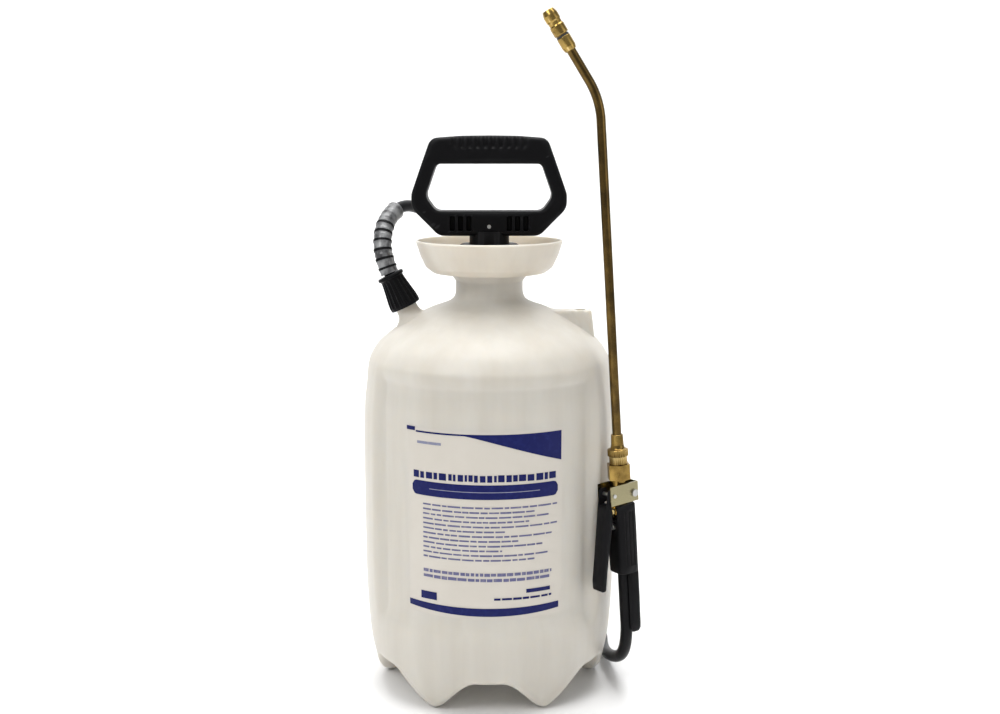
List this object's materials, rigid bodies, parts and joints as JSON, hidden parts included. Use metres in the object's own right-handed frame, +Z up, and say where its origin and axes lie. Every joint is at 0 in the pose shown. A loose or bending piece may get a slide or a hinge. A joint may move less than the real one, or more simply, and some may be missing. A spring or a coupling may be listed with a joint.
{
  "type": "pump sprayer",
  "caption": "Hand compression sprayer: translucent funnel-top tank, D-handle pump, hose with bend guard, and a bent brass wand with a squeeze-lever shut-off valve.",
  "frame": {"origin": "on the tank's axis, on the floor under its feet", "axes": "+Z up along the tank's axis, -Y towards the label side, +X towards the wand"},
  "size_m": [0.2184, 0.2577, 0.5261],
  "materials": {
    "poly_tank": "translucent natural polyethylene, blow-moulded, satin",
    "label_film": "thin printed film, satin",
    "black_plastic": "moulded black polypropylene, satin",
    "black_hose": "smooth black reinforced hose, satin",
    "grey_guard": "grey translucent vinyl sleeve",
    "grey_plastic": "moulded plastic, satin",
    "rubber_seal": "nitrile rubber, matt",
    "brass": "turned and drawn brass, bright with dark reflections",
    "steel": "zinc-plated steel"
  },
  "bodies": {
    "tank": {"tank": "poly_tank", "label": "label_film", "outlet_gasket": "rubber_seal", "hose_tail": "grey_plastic", "hose_nut": "black_plastic", "dip_tube": "grey_plastic", "dip_tube_strainer": "grey_plastic", "hose": "black_hose", "hose_guard": "grey_guard"},
    "gasket": {"barrel_gasket": "rubber_seal"},
    "pump": {"pump_barrel": "grey_plastic", "pump_cap": "black_plastic", "rod_bushing": "grey_plastic", "check_valve": "rubber_seal"},
    "piston": {"piston_washer": "grey_plastic", "piston_cup": "rubber_seal"},
    "plunger": {"pump_rod": "steel", "pump_handle": "black_plastic", "handle_pin": "steel", "piston_nut": "steel"},
    "handset": {"valve_body": "brass", "valve_yoke": "steel", "packing_nut": "brass", "grip": "black_plastic", "grip_screw": "steel", "lever_pin": "steel", "hose_barb": "brass", "hose_ferrule": "steel", "lever_spring": "steel"},
    "lever": {"lever": "black_plastic"},
    "stem": {"valve_stem": "brass", "stem_oring": "rubber_seal"},
    "wand": {"wand_nut": "brass", "wand_oring": "rubber_seal", "wand_tube": "brass", "nozzle_stem": "brass", "nozzle_oring": "rubber_seal"},
    "nozzle": {"nozzle_cap": "brass"}
  },
  "joints": [
    {"name": "pump_lift", "type": "slide", "parent": "tank", "child": "gasket", "axis": [0, 0, 1], "range_m": [0, 0.3]},
    {"name": "pump_turn", "type": "hinge", "parent": "gasket", "child": "pump", "pos_m": [0, 0, 0.336], "axis": [0, 0, 1], "range_deg": [0, 720]},
    {"name": "pump_stroke", "type": "slide", "parent": "pump", "child": "piston", "axis": [0, 0, 1], "range_m": [0, 0.18]},
    {"name": "handle_turn", "type": "hinge", "parent": "piston", "child": "plunger", "pos_m": [0, 0, 0.366], "axis": [0, 0, 1], "range_deg": [0, 45]},
    {"name": "handset_lift", "type": "slide", "parent": "tank", "child": "handset", "axis": [-0.0645, 0, 0.9979], "range_m": [0, 0.05]},
    {"name": "lever_squeeze", "type": "hinge", "parent": "handset", "child": "lever", "pos_m": [0.0905, -0.05788, 0.16545], "axis": [0.5724, -0.8192, 0.037], "range_deg": [0, 8], "stiffness_Nm_per_rad": 0.8, "springref_deg": -17.19, "deforming": ["lever_spring"]},
    {"name": "valve_push", "type": "slide", "parent": "handset", "child": "stem", "axis": [0.8174, 0.5736, 0.0529], "range_m": [0, 0.0025]},
    {"name": "wand_turn", "type": "hinge", "parent": "handset", "child": "wand", "pos_m": [0.09824, -0.051, 0.19802], "axis": [-0.0645, 0, 0.9979], "range_deg": [-180, 180]},
    {"name": "nozzle_turn", "type": "hinge", "parent": "wand", "child": "nozzle", "pos_m": [0.05515, -0.051, 0.50339], "axis": [-0.524, 0, 0.8517], "range_deg": [0, 540]}
  ],
  "couplings": [
    {"joint": "valve_push", "follows": "lever_squeeze", "m_per_rad": 0.014}
  ]
}
